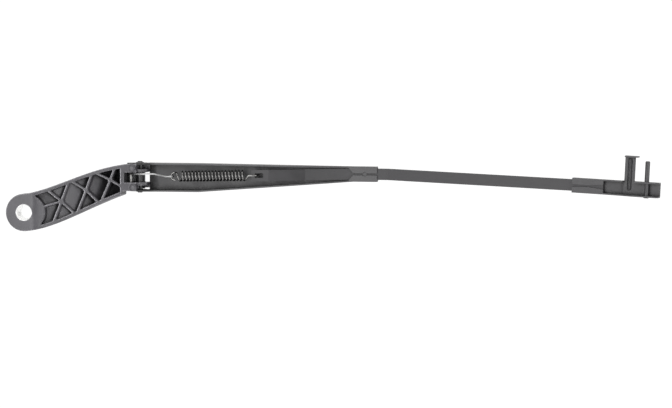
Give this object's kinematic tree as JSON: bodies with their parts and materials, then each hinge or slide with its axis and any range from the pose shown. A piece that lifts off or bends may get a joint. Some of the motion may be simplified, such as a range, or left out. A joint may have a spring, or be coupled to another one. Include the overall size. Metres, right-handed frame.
{
  "type": "wiper arm",
  "caption": "Windscreen wiper arm with a cranked ribbed casting, a hinged sheet channel with a tension spring, a flat bar and a crimped side-pin blade holder",
  "frame": {"origin": "middle of the spindle hole on the seat face of the boss, the face that lies on the wiper spindle's shoulder", "axes": "+X along the arm from the spindle to the tip, +Y to the side on which the blade pin stands out, +Z out of the seat face, toward the car body. The arm lies with its underside up."},
  "size_m": [0.5571, 0.0684, 0.0828],
  "materials": {
    "cast_black": "black powder coat on a die casting, semi-gloss",
    "painted_black": "black paint on steel, semi-gloss",
    "plated_steel": "bright zinc plating",
    "spring_black": "black coated spring wire, glossy",
    "pin_black": "black coated pin"
  },
  "bodies": {
    "head": {"head_casting": "cast_black", "anchor_pin": "plated_steel"},
    "arm": {"arm_channel": "painted_black", "arm_bar": "painted_black", "bar_rivet": "painted_black", "blade_holder": "painted_black", "blade_pin": "pin_black", "pivot_pin": "painted_black"},
    "pull_link": {"tension_link": "plated_steel", "tension_spring": "spring_black"}
  },
  "joints": [
    {"name": "arm_fold", "type": "hinge", "parent": "head", "child": "arm", "pos_m": [0.0832, 0.0282, -0.076], "axis": [0, 1, 0], "range_deg": [0, 60], "stiffness_Nm_per_rad": 0.5, "springref_deg": -57.3},
    {"name": "link_swing", "type": "hinge", "parent": "head", "child": "pull_link", "pos_m": [0.0769, 0.0285, -0.0679], "axis": [0, 1, 0], "range_deg": [0, 56], "deforming": ["tension_spring"]}
  ],
  "couplings": [
    {"joint": "link_swing", "follows": "arm_fold", "ratio": 0.925}
  ]
}
